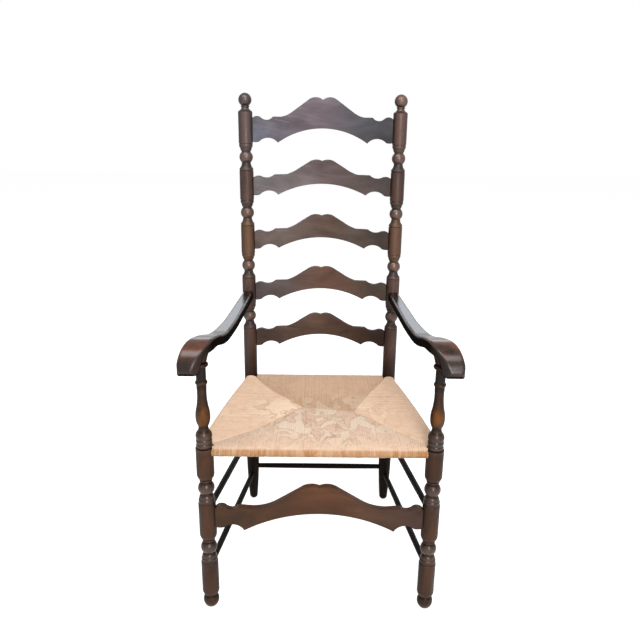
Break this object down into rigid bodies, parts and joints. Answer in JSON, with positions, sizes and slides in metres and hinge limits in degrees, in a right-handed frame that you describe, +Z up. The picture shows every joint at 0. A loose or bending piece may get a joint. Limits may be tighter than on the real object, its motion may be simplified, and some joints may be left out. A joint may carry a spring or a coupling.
{
  "type": "ladderback armchair",
  "caption": "High ladderback armchair with turned posts, arched slats, scrolled arms and a woven rush seat.",
  "frame": {"origin": "on the floor, under the middle of the chair's overall box", "axes": "+Z up, the sitter faces -Y, +X to the right in a view from the front"},
  "size_m": [0.6134, 0.5651, 1.22],
  "materials": {
    "stained_wood": "dark walnut stain, satin",
    "bare_wood": "plain",
    "rush": "twisted dry rush, low sheen",
    "straw": "loose"
  },
  "bodies": {
    "root": {"back_post_left": "stained_wood", "back_post_right": "stained_wood", "front_leg_left": "stained_wood", "front_leg_right": "stained_wood", "arm_left": "stained_wood", "arm_right": "stained_wood", "slat_1": "stained_wood", "slat_2": "stained_wood", "slat_3": "stained_wood", "slat_4": "stained_wood", "slat_5": "stained_wood", "front_stretcher": "stained_wood", "side_stretcher_upper_left": "stained_wood", "side_stretcher_upper_right": "stained_wood", "side_stretcher_lower_left": "stained_wood", "side_stretcher_lower_right": "stained_wood", "rear_stretcher": "stained_wood", "seat_rail_front": "bare_wood", "seat_rail_rear": "bare_wood", "seat_rail_left": "bare_wood", "seat_rail_right": "bare_wood", "rush_seat": "rush", "seat_stuffing": "straw"}
  },
  "joints": []
}
